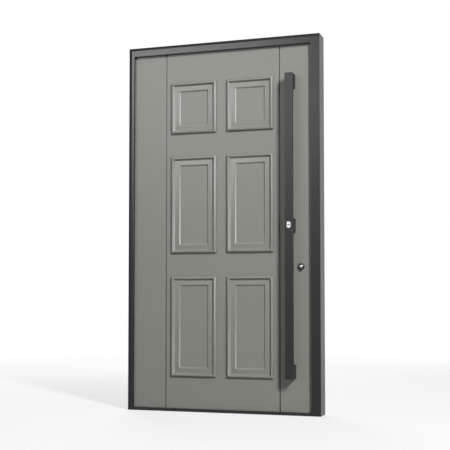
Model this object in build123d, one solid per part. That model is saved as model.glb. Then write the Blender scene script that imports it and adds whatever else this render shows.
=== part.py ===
from build123d import *
import os

# A single front door in its own frame: a smooth leaf with two V-grooves and six raised mouldings, a long
# pull bar with a reader in it, a cylinder lock and three barrel hinges on the inside.
# Millimetres. X runs from the hinge side to the lock side, -Y is outdoors, +Z is up.
# The origin is under the threshold, at the middle of the frame's width and depth.

# Frame
frame_width = 1190.0
frame_height = 2200.0
frame_depth = 110.0
hinge_jamb_body = 20.0
lock_jamb_body = 28.0
head_body = 28.0
hinge_jamb_face = 33.0
lock_jamb_face = 54.0
head_face = 50.0
lip_thickness = 14.0
threshold_base = 8.0
threshold_upstand = 18.0
edge_radius = 0.8

# Wall seals in the face of the frame
seal_depth = 4.0
hinge_seal_width = 17.0
head_seal_width = 15.0

# Stop gaskets behind the lip
gasket_width = 6.0
gasket_inset = 2.0
gasket_clearance = 0.4

# Leaf
leaf_setback = 22.0
leaf_thickness = 85.0
hinge_gap = 5.0
lock_gap = 7.0
head_gap = 6.0
foot_gap = 5.0
outer_panel_thickness = 18.0
inner_panel_thickness = 12.0
panel_edge = 1.5
hinge_stile_width = 110.0
lock_stile_width = 170.0
top_rail_width = 110.0
bottom_rail_width = 160.0

# V-grooves, set in from both edges of the leaf
groove_inset = 211.0
groove_width = 8.5
groove_depth = 4.2

# Mouldings: two columns of three between the grooves. The middle row takes up what the others leave.
moulding_margin = 36.5
column_gap = 67.0
row_gap = 140.0
bottom_row_rise = 193.0
top_row_drop = 195.0
bottom_moulding_height = 595.0
top_moulding_height = 310.0
member_width = 58.0
member_edge = 6.0
bead_height = 18.0
bead_crown = 11.0
bead_width = 24.0
quirk_height = 6.5
nose_height = 9.5
nose_inset = 11.0
inner_edge = 1.0

# Pull bar
bar_inset = 137.0
bar_rise = 198.0
bar_drop = 195.0
bar_width = 45.0
bar_thickness = 25.0
bar_wall = 3.0
bar_projection = 77.0
bar_edge = 1.2
cap_thickness = 3.0
block_height = 80.0
bolt_diameter = 10.0
bolt_head_diameter = 17.0
bolt_head_height = 6.4
bolt_hole_clearance = 0.25
bolt_grip = 28.0

# Reader in the bar
reader_width = 24.0
reader_height = 37.0
reader_rim = 3.0
reader_proud = 1.6
reader_depth = 14.0
sensor_height = 7.0
sensor_proud = 0.6

# Lock
backset = 82.0
cylinder_height = 855.0
follower_rise = 92.0
dead_bolt_rise = 38.0
latch_rise = 128.0
case_thickness = 16.0
case_wall = 2.0
case_back = 34.0
case_below = 55.0
case_above = 165.0
mortise_clearance = 1.0
faceplate_thickness = 3.0
faceplate_width = 22.0
faceplate_overhang = 22.0
latch_height = 20.0
latch_reach = 11.0
latch_tip = 2.0
dead_bolt_height = 34.0
bolt_thickness = 11.0
bolt_clearance = 0.5
bolt_tail = 34.0
bolt_end_setback = 0.5
keep_thickness = 2.5
keep_width = 26.0
keep_overhang = 26.0
keep_pocket_depth = 24.0
keep_screw_length = 24.0

# Cylinder
profile_diameter = 17.0
profile_web = 10.0
profile_height = 33.0
cylinder_proud = 11.0
plug_diameter = 14.0
plug_length = 30.0
plug_proud = 0.8
key_slot_width = 2.4
key_slot_height = 9.0
key_slot_depth = 24.0
running_clearance = 0.05
outer_rose_diameter = 38.0
outer_rose_thickness = 10.0
outer_rose_edge = 4.0
inner_rose_diameter = 52.0
inner_rose_thickness = 8.0
inner_rose_edge = 2.4
thumb_shaft_diameter = 10.0
thumb_shaft_length = 26.0
thumb_collar_thickness = 3.5
thumb_clearance = 0.5
thumb_grip_length = 22.0
thumb_grip_width = 32.0
thumb_grip_thickness = 9.0

# Lever
lever_reach = 118.0
lever_standoff = 42.0
lever_diameter = 18.0
lever_bend = 20.0
lever_clearance = 0.5
spindle_size = 8.0
spindle_clearance = 0.02
follower_diameter = 24.0

# Hinges
hinge_length = 100.0
hinge_foot = 230.0
hinge_top_drop = 126.0
knuckle_diameter = 18.0
knuckle_clearance = 0.6
knuckle_web = 5.5
plate_thickness = 3.0
frame_plate_inset = 1.5
leaf_plate_width = 52.0
plate_screw_end = 20.0
leaf_plate_screw_inset = 20.5
leaf_plate_screw_pitch = 21.0
pin_diameter = 8.0
bush_diameter = 12.0
bush_flange = 1.5
bush_flange_gap = 0.3
pin_end_gap = 4.0

# Screws
screw_diameter = 4.5
screw_head_diameter = 8.6
screw_head_height = 2.4
plate_screw_length = 40.0
frame_plate_screw_length = 30.0
corner_screw_diameter = 5.0
corner_screw_length = 75.0

# Holes through the jambs for the wall fixings
fixing_hole_diameter = 8.5
fixing_end_distance = 300.0
fixing_inner_spacing = 600.0

# Bottom seal
bottom_seal_width = 8.0
bottom_seal_groove = 10.0
bottom_seal_clearance = 0.5

# How far a cutting shape runs past the face that it opens
overcut = 1.0

# Places worked out from the sizes
left = -frame_width / 2
right = frame_width / 2
front = -frame_depth / 2
back = frame_depth / 2
lip_back = front + lip_thickness
hinge_lip = left + hinge_jamb_face
lock_lip = right - lock_jamb_face
head_lip = frame_height - head_face
hinge_side = left + hinge_jamb_body
lock_side = right - lock_jamb_body
head_side = frame_height - head_body
leaf_left = hinge_side + hinge_gap
leaf_right = lock_side - lock_gap
leaf_top = head_side - head_gap
leaf_foot = threshold_base + foot_gap
leaf_face = front + leaf_setback
leaf_inside = leaf_face + leaf_thickness
core_front = leaf_face + outer_panel_thickness
core_back = leaf_inside - inner_panel_thickness
core_middle = (core_front + core_back) / 2
groove_left = leaf_left + groove_inset
groove_right = leaf_right - groove_inset
columns_left = groove_left + moulding_margin
columns_right = groove_right - moulding_margin
moulding_width = (columns_right - columns_left - column_gap) / 2
bottom_row_foot = leaf_foot + bottom_row_rise
middle_row_foot = bottom_row_foot + bottom_moulding_height + row_gap
top_row_foot = leaf_top - top_row_drop - top_moulding_height
middle_moulding_height = top_row_foot - row_gap - middle_row_foot
bar_x = leaf_right - bar_inset
bar_front = leaf_face - bar_projection
bar_back = bar_front + bar_thickness
bar_foot = leaf_foot + bar_rise
bar_top = leaf_top - bar_drop
bar_centre = (bar_foot + bar_top) / 2
block_centres = {
    "bottom": bar_foot + block_height / 2,
    "middle": bar_centre,
    "top": bar_top - block_height / 2,
}
lock_x = leaf_right - backset
follower_height = cylinder_height + follower_rise
dead_bolt_level = cylinder_height + dead_bolt_rise
latch_level = cylinder_height + latch_rise
case_left = lock_x - case_back
case_right = leaf_right - faceplate_thickness
case_foot = cylinder_height - case_below
case_top = cylinder_height + case_above
keep_face = lock_side - keep_thickness
hinge_axis_x = leaf_left - hinge_gap / 2
hinge_axis_y = max(back + plate_thickness, leaf_inside) + knuckle_clearance + knuckle_diameter / 2
top_hinge_foot = leaf_top - hinge_top_drop - hinge_length
hinge_feet = [hinge_foot, (hinge_foot + top_hinge_foot) / 2, top_hinge_foot]
frame_plate_right = hinge_side - frame_plate_inset
fixing_centre = frame_height / 2
fixing_outer_spacing = frame_height - 2 * fixing_end_distance
knuckle_height = (hinge_length - bush_flange - bush_flange_gap) / 2


def block(x0, x1, y0, y1, z0, z1):
    """A box between two corners."""
    return Pos((x0 + x1) / 2, (y0 + y1) / 2, (z0 + z1) / 2) * Box(x1 - x0, y1 - y0, z1 - z0)


def rod_x(x0, x1, y, z, diameter):
    """A round rod along X."""
    return Pos((x0 + x1) / 2, y, z) * Rot(0, 90, 0) * Cylinder(diameter / 2, x1 - x0)


def rod_y(x, y0, y1, z, diameter):
    """A round rod along Y."""
    return Pos(x, (y0 + y1) / 2, z) * Rot(90, 0, 0) * Cylinder(diameter / 2, y1 - y0)


def rod_z(x, y, z0, z1, diameter):
    """A round rod along Z."""
    return Pos(x, y, (z0 + z1) / 2) * Cylinder(diameter / 2, z1 - z0)


def stadium_y(x, y0, y1, z, width, height):
    """An upright rod with round ends, along Y."""
    start = Plane((x, y0, z), x_dir=(1, 0, 0), z_dir=(0, 1, 0))
    return extrude(start * Rot(0, 0, 90) * SlotOverall(height, width), y1 - y0)


def countersunk_screw(x, y, z, length):
    """A screw driven towards -Y, its flat head level with y."""
    head = Pos(x, y - screw_head_height / 2, z) * Rot(90, 0, 0) * Cone(
        screw_head_diameter / 2, screw_diameter / 2, screw_head_height
    )
    return head + rod_y(x, y - length, y - screw_head_height, z, screw_diameter)


def name_and_store(node, solid, colour):
    """Write one node to its own file."""
    solid.label = node
    solid.color = Color(colour)
    export_step(solid, f"parts/{node}.step")


# Frame members

def corner_screws():
    """Screws through the jambs into the ends of the head and the threshold."""
    lip_middle = (front + lip_back) / 2
    body_middle = (lip_back + back) / 2
    lip_level = (head_lip + head_side) / 2
    body_level = (head_side + frame_height) / 2
    base_level = threshold_base / 2
    places = [
        (lip_middle, lip_level), (body_middle, body_level), (front / 2, base_level), (back / 2, base_level)
    ]
    screws = []
    for y, z in places:
        screws.append(rod_x(left, left + corner_screw_length, y, z, corner_screw_diameter))
        screws.append(rod_x(right - corner_screw_length, right, y, z, corner_screw_diameter))
    return Compound(children=screws)


def fixing_holes():
    """Holes along X through both jambs, midway between the lip and the back."""
    y = (lip_back + back) / 2
    holes = []
    for spacing in (fixing_outer_spacing, fixing_inner_spacing):
        for way in (-1, 1):
            z = fixing_centre + way * spacing / 2
            holes.append(rod_x(left - overcut, right + overcut, y, z, fixing_hole_diameter))
    return Compound(children=holes)


def jamb_board(x0, x1):
    """Board of a jamb, from the floor to the top, behind its face strip."""
    return block(x0, x1, lip_back, back, 0, frame_height)


def upright_strip(x0, x1):
    """Strip on the face of a jamb. Its inner edge stands past the board as the leaf's stop."""
    strip = block(x0, x1, front, lip_back, 0, frame_height)
    rim = strip.edges().filter_by(Axis.Z).filter_by_position(Axis.Y, front, front)
    return fillet(rim, edge_radius)


def head_strip():
    """Strip on the face of the head, between the upright strips."""
    return block(hinge_lip, lock_lip, front, lip_back, head_lip, frame_height)


def hinge_seal():
    """Black seal in the outer corner of the hinge jamb's face, below the head seal."""
    return block(left, left + hinge_seal_width, front, front + seal_depth, 0, frame_height - head_seal_width)


def head_seal():
    """Black seal along the top of the frame's face, over both jambs."""
    return block(left, right, front, front + seal_depth, frame_height - head_seal_width, frame_height)


def head_board():
    """Board of the head, between the jambs."""
    return block(hinge_side, lock_side, lip_back, back, head_side, frame_height)


def threshold_member():
    """Threshold between the jambs: a low base with a stop upstand in front."""
    base = block(hinge_side, lock_side, lip_back, back, 0, threshold_base)
    upstand = block(hinge_lip, lock_lip, front, lip_back, 0, threshold_upstand)
    nose = upstand.edges().filter_by(Axis.X).filter_by_position(Axis.Z, threshold_upstand, threshold_upstand)
    return base + chamfer(nose, edge_radius)


def gasket_section_depth():
    """Distance from the back of the lip to the nose of a gasket."""
    return leaf_face - gasket_clearance - lip_back


def gasket_upright(x0, foot, top):
    """Upright stop gasket: a base with a round nose towards the leaf."""
    radius = gasket_width / 2
    nose = lip_back + gasket_section_depth() - radius
    strip = block(x0, x0 + gasket_width, lip_back, nose, foot, top)
    return strip + rod_z(x0 + radius, nose, foot, top, gasket_width)


def gasket_level(z0, x0, x1):
    """Level stop gasket of the same section."""
    radius = gasket_width / 2
    nose = lip_back + gasket_section_depth() - radius
    strip = block(x0, x1, lip_back, nose, z0, z0 + gasket_width)
    return strip + rod_x(x0, x1, nose, z0 + radius, gasket_width)


# Lock furniture

def euro_profile(y0, y1, growth):
    """Keyhole-shaped bar of the cylinder, grown all round."""
    radius = profile_diameter / 2 + growth
    web = profile_web / 2 + growth
    foot = cylinder_height + profile_diameter / 2 - profile_height - growth
    barrel = rod_y(lock_x, y0, y1, cylinder_height, 2 * radius)
    tail = block(lock_x - web, lock_x + web, y0, y1, foot + web, cylinder_height)
    return barrel + tail + rod_y(lock_x, y0, y1, foot + web, 2 * web)


def case_opening(level, height, x0, x1):
    """Room for a bolt, through plates that it slides in."""
    half_height = height / 2 + bolt_clearance
    half_thickness = bolt_thickness / 2 + bolt_clearance
    return block(
        x0, x1, core_middle - half_thickness, core_middle + half_thickness, level - half_height,
        level + half_height,
    )


def spindle_hole(y0, y1):
    """Round hole on the lever's axis."""
    return rod_y(lock_x, y0, y1, follower_height, follower_diameter)


def lock_case():
    """Sheet steel case, open where the bolts, the cylinder and the follower pass."""
    half = case_thickness / 2
    outside = block(case_left, case_right, core_middle - half, core_middle + half, case_foot, case_top)
    inside = block(
        case_left + case_wall, case_right - case_wall, core_middle - half + case_wall,
        core_middle + half - case_wall, case_foot + case_wall, case_top - case_wall,
    )
    case = outside - inside
    case -= case_opening(latch_level, latch_height, case_right - 2 * case_wall, case_right + overcut)
    case -= case_opening(dead_bolt_level, dead_bolt_height, case_right - 2 * case_wall, case_right + overcut)
    near = core_middle - half - overcut
    far = core_middle + half + overcut
    case -= euro_profile(near, far, bolt_clearance)
    return case - rod_y(lock_x, near, far, follower_height, follower_diameter + 2 * bolt_clearance)


def lock_mortise():
    """Pocket in the lock stile for the case and its faceplate."""
    half = case_thickness / 2 + mortise_clearance
    pocket = block(
        case_left - mortise_clearance, leaf_right + overcut, core_middle - half, core_middle + half,
        case_foot - mortise_clearance, case_top + mortise_clearance,
    )
    return pocket + faceplate_blank(leaf_right + overcut)


def faceplate_blank(outer_x):
    """Outline of the faceplate in the leaf's edge."""
    half = faceplate_width / 2
    return block(
        leaf_right - faceplate_thickness, outer_x, core_middle - half, core_middle + half,
        case_foot - faceplate_overhang, case_top + faceplate_overhang,
    )


def faceplate():
    """Faceplate level with the leaf's edge, with openings for both bolts and two screw holes."""
    plate = faceplate_blank(leaf_right)
    plate -= case_opening(latch_level, latch_height, case_right - overcut, leaf_right + overcut)
    plate -= case_opening(dead_bolt_level, dead_bolt_height, case_right - overcut, leaf_right + overcut)
    return plate - edge_screws(leaf_right, -1, faceplate_screw_levels(), plate_screw_length)


def faceplate_screw_levels():
    """Heights of the faceplate's screws, in the overhang at each end."""
    return [case_foot - faceplate_overhang / 2, case_top + faceplate_overhang / 2]


def edge_screws(x, way, levels, length):
    """Countersunk screws along X, driven to the side that way gives, heads level with x."""
    screws = []
    for z in levels:
        turn = 90 if way > 0 else -90
        head = Pos(x + way * screw_head_height / 2, core_middle, z) * Rot(0, turn, 0) * Cone(
            screw_head_diameter / 2, screw_diameter / 2, screw_head_height
        )
        ends = sorted((x + way * screw_head_height, x + way * length))
        screws.append(head + rod_x(*ends, core_middle, z, screw_diameter))
    return Compound(children=screws)


def latch_bolt():
    """Sprung latch: flat towards the inside, bevelled towards the outside."""
    half = bolt_thickness / 2
    tip = leaf_right + latch_reach
    outline = Polyline(
        (case_right - bolt_tail, core_middle - half),
        (leaf_right, core_middle - half),
        (tip, core_middle + half - latch_tip),
        (tip, core_middle + half),
        (case_right - bolt_tail, core_middle + half),
        close=True,
    )
    body = extrude(make_face(outline), latch_height)
    return Pos(0, 0, latch_level - latch_height / 2) * body


def dead_bolt():
    """Square bolt, drawn back behind the faceplate's outer side."""
    half = bolt_thickness / 2
    return block(
        case_right - bolt_tail, leaf_right - bolt_end_setback, core_middle - half, core_middle + half,
        dead_bolt_level - dead_bolt_height / 2, dead_bolt_level + dead_bolt_height / 2,
    )


def keep_openings(x0, x1):
    """Openings that both bolts enter, through the keep and into the jamb."""
    latch_opening = case_opening(latch_level, latch_height, x0, x1)
    return latch_opening + case_opening(dead_bolt_level, dead_bolt_height, x0, x1)


def keep_screw_levels():
    """Heights of the keep's screws."""
    return [case_foot - keep_overhang / 2, case_top + keep_overhang / 2]


def keep_plate():
    """Keep on the lock jamb, facing the faceplate."""
    half = keep_width / 2
    plate = block(
        keep_face, lock_side, core_middle - half, core_middle + half, case_foot - keep_overhang,
        case_top + keep_overhang,
    )
    return plate - keep_openings(keep_face - overcut, lock_side + overcut)


# Pull bar

def bar_tube():
    """Rectangular tube with soft edges, open at both ends and cut out for the reader."""
    tube = block(
        bar_x - bar_width / 2, bar_x + bar_width / 2, bar_front, bar_back, bar_foot + cap_thickness,
        bar_top - cap_thickness,
    )
    tube = fillet(tube.edges().filter_by(Axis.Z), bar_edge)
    tube -= block(
        bar_x - bar_width / 2 + bar_wall, bar_x + bar_width / 2 - bar_wall, bar_front + bar_wall,
        bar_back - bar_wall, bar_foot, bar_top,
    )
    return tube - stadium_y(
        bar_x, bar_front - overcut, bar_front + bar_wall + overcut, bar_centre,
        reader_width + 2 * reader_rim, reader_height + 2 * reader_rim,
    )


def bar_caps():
    """Plates that close the two ends of the tube."""
    caps = []
    for z in (bar_foot, bar_top - cap_thickness):
        cap = block(bar_x - bar_width / 2, bar_x + bar_width / 2, bar_front, bar_back, z, z + cap_thickness)
        caps.append(fillet(cap.edges().filter_by(Axis.Z), bar_edge))
    return Compound(children=caps)


def standoff_block(level):
    """Solid block between the tube and the leaf."""
    solid = block(
        bar_x - bar_width / 2, bar_x + bar_width / 2, bar_back, leaf_face, level - block_height / 2,
        level + block_height / 2,
    )
    return fillet(solid.edges().filter_by(Axis.Y), bar_edge)


def standoff_bolts():
    """Bolts from the inner side of the lock stile through the leaf into the blocks."""
    bolts = []
    for level in block_centres.values():
        shank = rod_y(bar_x, leaf_face - bolt_grip, core_back - bolt_head_height, level, bolt_diameter)
        head = rod_y(bar_x, core_back - bolt_head_height, core_back, level, bolt_head_diameter)
        bolts.append(shank + head)
    return Compound(children=bolts)


def reader_housing():
    """Dark oval housing let into the front of the tube."""
    body = stadium_y(
        bar_x, bar_front - reader_proud / 2, bar_front + reader_depth, bar_centre,
        reader_width + 2 * reader_rim, reader_height + 2 * reader_rim,
    )
    return body - stadium_y(
        bar_x, bar_front - reader_proud, bar_front + reader_depth / 2, bar_centre, reader_width,
        reader_height,
    )


def reader_bezel():
    """Bright oval in the housing, cut across its middle for the sensor."""
    body = stadium_y(
        bar_x, bar_front - reader_proud, bar_front + reader_depth / 2, bar_centre, reader_width,
        reader_height,
    )
    rim = body.faces().sort_by(Axis.Y)[0].edges()
    return fillet(rim, reader_proud / 2) - reader_window(bar_front - reader_proud)


def reader_window(y0):
    """Upright-sided slot across the bezel."""
    half_width = reader_width / 2 - reader_rim
    half_height = sensor_height / 2
    return block(
        bar_x - half_width, bar_x + half_width, y0 - overcut, bar_front + reader_depth / 2,
        bar_centre - half_height, bar_centre + half_height,
    )


def reader_sensor():
    """Glass strip that a finger is laid on."""
    half_width = reader_width / 2 - reader_rim
    half_height = sensor_height / 2
    return block(
        bar_x - half_width, bar_x + half_width, bar_front - sensor_proud, bar_front + reader_depth / 2,
        bar_centre - half_height, bar_centre + half_height,
    )


# Mouldings

def moulding_section():
    """Section of one member: a round outer bead, a quirk, a hollow that rises to a nose, and a fall.

    It starts at the outer edge and runs inwards along Y, and it stands up along Z.
    """
    crown = (bead_crown, bead_height)
    quirk = (bead_width, quirk_height)
    nose = (member_width - nose_inset, nose_height)
    foot = (member_width, inner_edge)
    edge = Line((0, 0), (0, member_edge))
    rise = Spline((0, member_edge), crown, tangents=((0, 1), (1, 0)))
    drop = Spline(crown, quirk, tangents=((1, 0), (1, 0)))
    hollow = Spline(quirk, nose, tangents=((1, 0), (1, 0)))
    fall = Spline(nose, foot, tangents=((1, 0), (1, 0)))
    inner = Line(foot, (member_width, 0))
    base = Line((member_width, 0), (0, 0))
    return Plane.YZ * make_face([edge, rise, drop, hollow, fall, inner, base])


def mitred_member(length):
    """One member with both ends mitred. Its outer edge runs along X, and it stands up along Z."""
    inner = member_width + overcut
    outline = Polyline(
        (-overcut, -overcut), (length + overcut, -overcut), (length - inner, inner), (inner, inner), close=True
    )
    cutter = Pos(0, 0, -overcut) * extrude(make_face(outline), bead_height + 2 * overcut)
    return extrude(moulding_section(), length) & cutter


def moulding(x0, z0, width, height):
    """Four mitred members round one field, glued up as one piece."""
    x1 = x0 + width
    z1 = z0 + height
    sides = [
        ((x0, z0), (1, 0, 0), width), ((x1, z0), (0, 0, 1), height), ((x1, z1), (-1, 0, 0), width),
        ((x0, z1), (0, 0, -1), height),
    ]
    members = []
    for (x, z), along, length in sides:
        place = Plane((x, leaf_face, z), x_dir=along, z_dir=(0, -1, 0))
        members.append(place * mitred_member(length))
    return members[0] + members[1:]


def moulding_rows():
    """Foot and height of each row of mouldings."""
    return {
        "bottom": (bottom_row_foot, bottom_moulding_height),
        "middle": (middle_row_foot, middle_moulding_height),
        "top": (top_row_foot, top_moulding_height),
    }


def moulding_columns():
    """Left edge of each column of mouldings."""
    return {"left": columns_left, "right": columns_right - moulding_width}


# Leaf

def v_groove(x):
    """Tool shape of one V-groove over the whole height of the leaf."""
    half = groove_width / 2
    before = leaf_face - overcut
    outline = Polyline(
        (x - half, leaf_face), (x, leaf_face + groove_depth), (x + half, leaf_face), (x + half, before),
        (x - half, before), close=True,
    )
    return Pos(0, 0, leaf_foot - overcut) * extrude(make_face(outline), leaf_top - leaf_foot + 2 * overcut)


def through_leaf(y0, y1):
    """Holes for the stand-off bolts, the cylinder and the spindle, between two depths."""
    holes = euro_profile(y0, y1, mortise_clearance)
    for level in block_centres.values():
        holes += rod_y(bar_x, y0, y1, level, bolt_diameter + 2 * bolt_hole_clearance)
    return holes


def outer_panel():
    """Outer panel with softened edges, V-grooves and its holes."""
    panel = block(leaf_left, leaf_right, leaf_face, core_front, leaf_foot, leaf_top)
    rim = panel.faces().sort_by(Axis.Y)[0].edges()
    panel = chamfer(rim, panel_edge)
    panel -= v_groove(groove_left)
    panel -= v_groove(groove_right)
    return panel - through_leaf(leaf_face - overcut, core_front + overcut)


def inner_panel():
    """Plain inner panel with softened edges and the holes of the lock furniture."""
    panel = block(leaf_left, leaf_right, core_back, leaf_inside, leaf_foot, leaf_top)
    rim = panel.faces().sort_by(Axis.Y)[-1].edges()
    panel = chamfer(rim, panel_edge)
    panel -= euro_profile(core_back - overcut, leaf_inside + overcut, mortise_clearance)
    panel -= spindle_hole(core_back - overcut, leaf_inside + overcut)
    panel -= hinge_plate_recesses()
    return panel - leaf_plate_screws()


def hinge_plate_recesses():
    """Shallow recesses that take the leaf halves of the hinges level with the inner panel."""
    recesses = []
    for foot in hinge_feet:
        recesses.append(
            block(
                leaf_left - overcut, leaf_left + leaf_plate_width, leaf_inside - plate_thickness,
                leaf_inside + overcut, foot, foot + hinge_length,
            )
        )
    return Compound(children=recesses)


def hinge_stile():
    """Hinge stile, bored for the hinge screws."""
    stile = block(leaf_left, leaf_left + hinge_stile_width, core_front, core_back, leaf_foot, leaf_top)
    return stile - leaf_plate_screws()


def lock_stile():
    """Lock stile with the mortise, the cylinder and spindle holes and the counterbored bolt holes."""
    stile = block(leaf_right - lock_stile_width, leaf_right, core_front, core_back, leaf_foot, leaf_top)
    stile -= lock_mortise()
    stile -= edge_screws(leaf_right, -1, faceplate_screw_levels(), plate_screw_length)
    stile -= euro_profile(core_front - overcut, core_back + overcut, mortise_clearance)
    stile -= spindle_hole(core_middle, core_back + overcut)
    return stile - standoff_bolts()


def between_stiles(foot, top):
    """Rail or core that fills the leaf from one stile to the other."""
    return block(
        leaf_left + hinge_stile_width, leaf_right - lock_stile_width, core_front, core_back, foot, top
    )


def seal_groove():
    """Groove for the bottom seal along the whole foot of the leaf."""
    half = bottom_seal_width / 2
    return block(
        leaf_left - overcut, leaf_right + overcut, core_middle - half, core_middle + half,
        leaf_foot - overcut, leaf_foot + bottom_seal_groove,
    )


def bottom_seal():
    """Seal in the foot of the leaf, just clear of the threshold."""
    half = bottom_seal_width / 2
    return block(
        leaf_left, leaf_right, core_middle - half, core_middle + half,
        threshold_base + bottom_seal_clearance, leaf_foot + bottom_seal_groove,
    )


# Hinges

def frame_hinge_half(foot):
    """Lower half of a hinge: a plate on the back of the jamb with a knuckle that holds the pin."""
    plate = block(
        left + frame_plate_inset, frame_plate_right, back, back + plate_thickness, foot, foot + hinge_length
    )
    web = block(
        hinge_axis_x - knuckle_diameter / 2, frame_plate_right, back, hinge_axis_y, foot,
        foot + knuckle_height,
    )
    knuckle = rod_z(hinge_axis_x, hinge_axis_y, foot, foot + knuckle_height, knuckle_diameter)
    half = plate + web + knuckle
    bore_top = foot + knuckle_height + overcut
    half -= rod_z(hinge_axis_x, hinge_axis_y, foot + pin_end_gap, bore_top, pin_diameter)
    return half - frame_plate_screws()


def leaf_hinge_half(foot):
    """Upper half of a hinge: a plate let into the leaf with a bored knuckle."""
    top = foot + hinge_length
    knuckle_foot = top - knuckle_height
    plate = block(
        leaf_left, leaf_left + leaf_plate_width, leaf_inside - plate_thickness, leaf_inside, foot, top
    )
    web = block(leaf_left, leaf_left + knuckle_web, leaf_inside, hinge_axis_y, knuckle_foot, top)
    knuckle = rod_z(hinge_axis_x, hinge_axis_y, knuckle_foot, top, knuckle_diameter)
    half = plate + web + knuckle
    half -= rod_z(hinge_axis_x, hinge_axis_y, knuckle_foot - overcut, top + overcut, bush_diameter)
    return half - leaf_plate_screws()


def hinge_pins():
    """Pins that stand in the lower knuckles."""
    pins = []
    for foot in hinge_feet:
        top = foot + hinge_length - pin_end_gap
        pins.append(rod_z(hinge_axis_x, hinge_axis_y, foot + pin_end_gap, top, pin_diameter))
    return Compound(children=pins)


def hinge_bushes():
    """Flanged bushes in the upper knuckles, running on the pins."""
    bushes = []
    for foot in hinge_feet:
        top = foot + hinge_length
        knuckle_foot = top - knuckle_height
        flange_foot = knuckle_foot - bush_flange
        sleeve = rod_z(hinge_axis_x, hinge_axis_y, knuckle_foot, top, bush_diameter)
        flange = rod_z(hinge_axis_x, hinge_axis_y, flange_foot, knuckle_foot, knuckle_diameter)
        bore = rod_z(
            hinge_axis_x, hinge_axis_y, flange_foot - overcut, top + overcut,
            pin_diameter + 2 * running_clearance,
        )
        bushes.append(sleeve + flange - bore)
    return Compound(children=bushes)


def plate_screw_levels(foot):
    """Heights of a hinge plate's two rows of screws."""
    return [foot + plate_screw_end, foot + hinge_length - plate_screw_end]


def frame_plate_screws():
    """Screws that hold the frame halves to the jamb, midway between the plate's edge and the knuckle."""
    x = (left + frame_plate_inset + hinge_axis_x - knuckle_diameter / 2) / 2
    screws = []
    for foot in hinge_feet:
        for z in plate_screw_levels(foot):
            screws.append(countersunk_screw(x, back + plate_thickness, z, frame_plate_screw_length))
    return Compound(children=screws)


def leaf_plate_screws():
    """Screws that hold the leaf halves of the hinges to the hinge stile."""
    screws = []
    for foot in hinge_feet:
        for z in plate_screw_levels(foot):
            for inset in (leaf_plate_screw_inset, leaf_plate_screw_inset + leaf_plate_screw_pitch):
                screws.append(countersunk_screw(leaf_left + inset, leaf_inside, z, plate_screw_length))
    return Compound(children=screws)


# Cylinder, thumbturn and lever

def plug_hole(y0, y1, diameter):
    """Round hole on the cylinder's axis."""
    return rod_y(lock_x, y0, y1, cylinder_height, diameter)


def cylinder_body():
    """Profile cylinder through the leaf, bored for the plug outside and the thumbturn's shaft inside."""
    outside = leaf_face - cylinder_proud
    inside = leaf_inside + inner_rose_thickness
    body = euro_profile(outside, inside, 0)
    body -= plug_hole(
        outside - overcut, outside + plug_length + overcut, plug_diameter + 2 * running_clearance
    )
    return body - plug_hole(
        inside - thumb_shaft_length - overcut, inside + overcut, thumb_shaft_diameter + 2 * running_clearance
    )


def cylinder_plug():
    """Plug with its key slot, a little proud of the cylinder."""
    outside = leaf_face - cylinder_proud
    plug = plug_hole(outside - plug_proud, outside + plug_length, plug_diameter)
    plug = fillet(plug.edges().sort_by(Axis.Y)[0], plug_proud / 2)
    half_width = key_slot_width / 2
    half_height = key_slot_height / 2
    return plug - block(
        lock_x - half_width, lock_x + half_width, outside - plug_proud - overcut, outside + key_slot_depth,
        cylinder_height - half_height, cylinder_height + half_height,
    )


def outer_rose():
    """Round dished rose round the cylinder, outside."""
    outside = leaf_face - outer_rose_thickness
    rose = plug_hole(outside, leaf_face, outer_rose_diameter)
    rose = fillet(rose.edges().sort_by(Axis.Y)[0], outer_rose_edge)
    return rose - euro_profile(outside - overcut, leaf_face + overcut, running_clearance)


def inner_rose():
    """Round rose round the cylinder, inside."""
    inside = leaf_inside + inner_rose_thickness
    rose = plug_hole(leaf_inside, inside, inner_rose_diameter)
    rose = fillet(rose.edges().sort_by(Axis.Y)[-1], inner_rose_edge)
    return rose - euro_profile(leaf_inside - overcut, inside + overcut, running_clearance)


def thumbturn():
    """Shaft in the cylinder with an oval grip on the inside."""
    inside = leaf_inside + inner_rose_thickness
    collar_start = inside + thumb_clearance
    collar_end = collar_start + thumb_collar_thickness
    shaft = plug_hole(inside - thumb_shaft_length, collar_start, thumb_shaft_diameter)
    collar = plug_hole(collar_start, collar_end, profile_diameter)
    grip_plane = Plane((lock_x, collar_end, cylinder_height), x_dir=(0, 0, 1), z_dir=(0, 1, 0))
    grip = extrude(grip_plane * Ellipse(thumb_grip_width / 2, thumb_grip_thickness / 2), thumb_grip_length)
    return shaft + collar + grip


def lever_rose():
    """Round rose that the lever turns in."""
    inside = leaf_inside + inner_rose_thickness
    rose = rod_y(lock_x, leaf_inside, inside, follower_height, inner_rose_diameter)
    rose = fillet(rose.edges().sort_by(Axis.Y)[-1], inner_rose_edge)
    return rose - rod_y(
        lock_x, leaf_inside - overcut, inside + overcut, follower_height,
        lever_diameter + 2 * running_clearance,
    )


def lever():
    """Round lever bent through a right angle, its arm towards the hinge side."""
    neck_start = leaf_inside + lever_clearance
    arm_y = leaf_inside + inner_rose_thickness + lever_standoff
    route = FilletPolyline(
        (lock_x, neck_start, follower_height), (lock_x, arm_y, follower_height),
        (lock_x - lever_reach, arm_y, follower_height), radius=lever_bend,
    )
    section = Plane((lock_x, neck_start, follower_height), z_dir=(0, 1, 0)) * Circle(lever_diameter / 2)
    arm = sweep(section, path=route)
    tip = Pos(lock_x - lever_reach, arm_y, follower_height) * Sphere(lever_diameter / 2)
    half = spindle_size / 2 + spindle_clearance
    socket = block(
        lock_x - half, lock_x + half, neck_start - overcut, neck_start + lever_diameter,
        follower_height - half, follower_height + half,
    )
    return arm + tip - socket


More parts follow.
